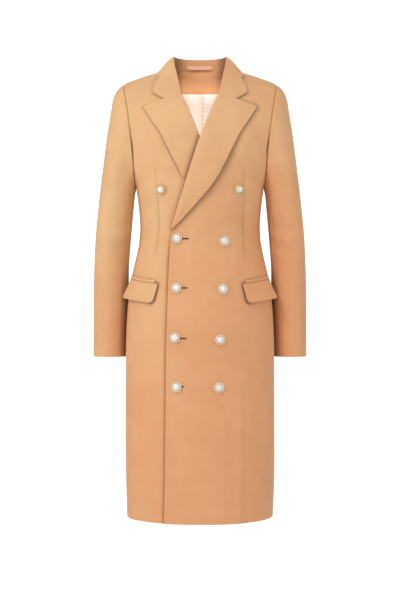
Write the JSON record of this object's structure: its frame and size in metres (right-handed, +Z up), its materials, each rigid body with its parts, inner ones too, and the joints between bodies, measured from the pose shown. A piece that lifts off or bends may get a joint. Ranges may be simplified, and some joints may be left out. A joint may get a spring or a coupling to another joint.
{
  "type": "overcoat",
  "caption": "Knee-length double-breasted overcoat in camel wool with notched lapels, flap pockets and domed metal buttons, filled out as worn.",
  "frame": {"origin": "the wearer's neck base, midway between the two points where the shoulder seams meet the collar", "axes": "+Z up, towards the collar; -Y towards the front of the coat; +X towards the wearer's left side, the front that laps over"},
  "size_m": [0.4996, 0.2667, 1.0701],
  "materials": {
    "camel_wool": "matte",
    "cream_lining": "satin",
    "salmon_satin": "satin",
    "pale_metal": "polished"
  },
  "bodies": {
    "root": {"back_left": "camel_wool", "back_lining": "cream_lining", "back_right": "camel_wool", "button_1_left": "pale_metal", "button_1_right": "pale_metal", "button_2_left": "pale_metal", "button_2_right": "pale_metal", "button_3_left": "pale_metal", "button_3_right": "pale_metal", "button_4_left": "pale_metal", "button_4_right": "pale_metal", "button_5_left": "pale_metal", "button_5_right": "pale_metal", "collar": "camel_wool", "front_left": "camel_wool", "front_right": "camel_wool", "hanger_loop": "salmon_satin", "lapel_left": "camel_wool", "lapel_right": "camel_wool", "neck_facing": "camel_wool", "pocket_flap_left": "camel_wool", "pocket_flap_right": "camel_wool", "pocket_welt_left": "camel_wool", "pocket_welt_right": "camel_wool", "under_sleeve_left": "camel_wool", "under_sleeve_right": "camel_wool", "upper_sleeve_left": "camel_wool", "upper_sleeve_right": "camel_wool"}
  },
  "joints": []
}
